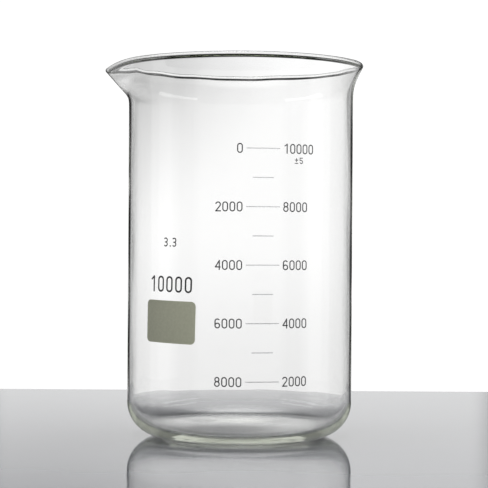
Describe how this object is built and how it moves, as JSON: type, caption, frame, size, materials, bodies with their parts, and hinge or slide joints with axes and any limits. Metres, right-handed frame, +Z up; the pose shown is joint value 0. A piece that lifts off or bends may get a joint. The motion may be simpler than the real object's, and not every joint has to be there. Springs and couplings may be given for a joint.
{
  "type": "laboratory beaker",
  "caption": "Large low-form glass beaker with a straight wall, flared beaded rim, pouring spout and a fired enamel volume scale with a marking field.",
  "frame": {"origin": "centre of the base's underside, on the vessel's axis at table height", "axes": "+Z up along the vessel's axis; the spout points along -X; the printed side faces -Y"},
  "size_m": [0.2556, 0.2416, 0.368],
  "materials": {
    "borosilicate_glass": "clear, fire polished",
    "field_enamel": "matt fired enamel that takes pencil",
    "dark_enamel": "fired enamel",
    "grey_enamel": "fired enamel",
    "pale_enamel": "fired enamel"
  },
  "bodies": {
    "root": {"glass_vessel": "borosilicate_glass", "marking_field": "field_enamel", "capacity_number": "dark_enamel", "glass_type_number": "grey_enamel", "tolerance_number": "grey_enamel", "line_10000": "pale_enamel", "line_9000": "pale_enamel", "line_8000": "pale_enamel", "line_7000": "pale_enamel", "line_6000": "pale_enamel", "line_5000": "pale_enamel", "line_4000": "pale_enamel", "line_3000": "pale_enamel", "line_2000": "pale_enamel", "right_numeral_10000": "grey_enamel", "right_numeral_8000": "grey_enamel", "right_numeral_6000": "grey_enamel", "right_numeral_4000": "grey_enamel", "right_numeral_2000": "grey_enamel", "left_numeral_0": "grey_enamel", "left_numeral_2000": "grey_enamel", "left_numeral_4000": "grey_enamel", "left_numeral_6000": "grey_enamel", "left_numeral_8000": "grey_enamel"}
  },
  "joints": []
}
